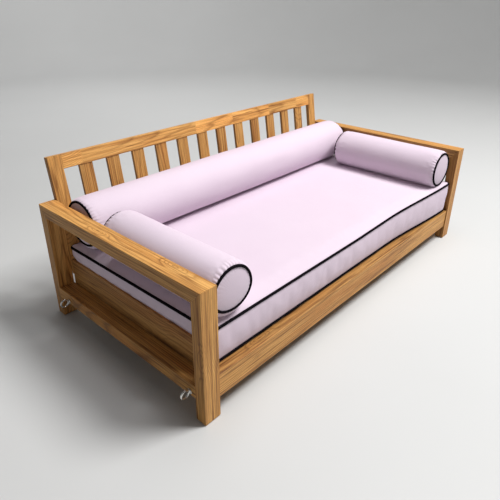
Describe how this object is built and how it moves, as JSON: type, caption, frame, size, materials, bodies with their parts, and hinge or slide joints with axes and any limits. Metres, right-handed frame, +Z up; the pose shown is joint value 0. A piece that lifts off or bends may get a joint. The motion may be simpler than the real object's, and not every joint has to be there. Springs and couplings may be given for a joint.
{
  "type": "daybed",
  "caption": "Hardwood daybed with open arm frames, a leaning slatted backrest, a slatted deck, a piped box mattress and bolsters, held together with ring bolts turned by hand",
  "frame": {"origin": "on the floor, in the middle of the whole object's plan", "axes": "+X runs along the seat, -Y is the open front, +Z is up"},
  "size_m": [2.192, 1.0686, 0.754],
  "materials": {
    "arm_timber": "oiled golden-brown hardwood, straight and cathedral grain",
    "rail_timber": "oiled golden-brown hardwood",
    "backrest_timber": "oiled golden-brown hardwood, finger-jointed rail",
    "deck_timber": "plain sanded hardwood, unseen under the mattress",
    "mattress_fabric": "pale lavender woven cover with near-black piping",
    "bolster_fabric": "pale lavender woven cover with near-black piping",
    "ring_steel": "dull zinc-plated steel ring bolt",
    "steel": "zinc-plated steel"
  },
  "bodies": {
    "frame": {"left_arm_front_post": "arm_timber", "left_arm_back_post": "arm_timber", "left_arm_top_rail": "arm_timber", "left_arm_bottom_rail": "arm_timber", "right_arm_front_post": "arm_timber", "right_arm_back_post": "arm_timber", "right_arm_top_rail": "arm_timber", "right_arm_bottom_rail": "arm_timber", "front_rail": "rail_timber", "back_rail": "rail_timber", "front_seat_beam": "deck_timber", "back_seat_beam": "deck_timber", "left_end_board": "rail_timber", "right_end_board": "rail_timber", "seat_slat_01": "deck_timber", "seat_slat_02": "deck_timber", "seat_slat_03": "deck_timber", "seat_slat_04": "deck_timber", "seat_slat_05": "deck_timber", "seat_slat_06": "deck_timber", "seat_slat_07": "deck_timber", "seat_slat_08": "deck_timber", "seat_slat_09": "deck_timber", "seat_slat_10": "deck_timber", "seat_slat_11": "deck_timber", "seat_slat_12": "deck_timber", "backrest_left_stile": "backrest_timber", "backrest_right_stile": "backrest_timber", "backrest_top_rail": "backrest_timber", "backrest_bottom_rail": "backrest_timber", "backrest_slat_01": "backrest_timber", "backrest_slat_02": "backrest_timber", "backrest_slat_03": "backrest_timber", "backrest_slat_04": "backrest_timber", "backrest_slat_05": "backrest_timber", "backrest_slat_06": "backrest_timber", "backrest_slat_07": "backrest_timber", "backrest_slat_08": "backrest_timber", "backrest_slat_09": "backrest_timber", "backrest_slat_10": "backrest_timber", "backrest_slat_11": "backrest_timber", "backrest_slat_12": "backrest_timber", "left_front_insert": "steel", "left_back_insert": "steel", "right_front_insert": "steel", "right_back_insert": "steel", "left_backrest_lower_bolt": "steel", "left_backrest_upper_bolt": "steel", "right_backrest_lower_bolt": "steel", "right_backrest_upper_bolt": "steel"},
    "mattress": {"mattress": "mattress_fabric"},
    "back_bolster": {"back_bolster": "bolster_fabric"},
    "left_bolster": {"left_bolster": "bolster_fabric"},
    "right_bolster": {"right_bolster": "bolster_fabric"},
    "left_front_ring_bolt": {"left_front_ring_bolt": "ring_steel"},
    "left_back_ring_bolt": {"left_back_ring_bolt": "ring_steel"},
    "right_front_ring_bolt": {"right_front_ring_bolt": "ring_steel"},
    "right_back_ring_bolt": {"right_back_ring_bolt": "ring_steel"}
  },
  "joints": [
    {"name": "mattress_lift", "type": "slide", "parent": "frame", "child": "mattress", "axis": [0, 0, 1], "range_m": [0, 0.45]},
    {"name": "back_bolster_lift", "type": "slide", "parent": "mattress", "child": "back_bolster", "axis": [0, 0, 1], "range_m": [0, 0.25]},
    {"name": "left_bolster_lift", "type": "slide", "parent": "mattress", "child": "left_bolster", "axis": [0, 0, 1], "range_m": [0, 0.25]},
    {"name": "right_bolster_lift", "type": "slide", "parent": "mattress", "child": "right_bolster", "axis": [0, 0, 1], "range_m": [0, 0.25]},
    {"name": "left_front_ring_turn", "type": "hinge", "parent": "frame", "child": "left_front_ring_bolt", "pos_m": [-1.05, -0.45796, 0.12], "axis": [-1, 0, 0], "range_deg": [0, 180]},
    {"name": "left_back_ring_turn", "type": "hinge", "parent": "frame", "child": "left_back_ring_bolt", "pos_m": [-1.05, 0.37044, 0.12], "axis": [-1, 0, 0], "range_deg": [0, 180]},
    {"name": "right_front_ring_turn", "type": "hinge", "parent": "frame", "child": "right_front_ring_bolt", "pos_m": [1.05, -0.45796, 0.12], "axis": [1, 0, 0], "range_deg": [0, 180]},
    {"name": "right_back_ring_turn", "type": "hinge", "parent": "frame", "child": "right_back_ring_bolt", "pos_m": [1.05, 0.37044, 0.12], "axis": [1, 0, 0], "range_deg": [0, 180]}
  ]
}
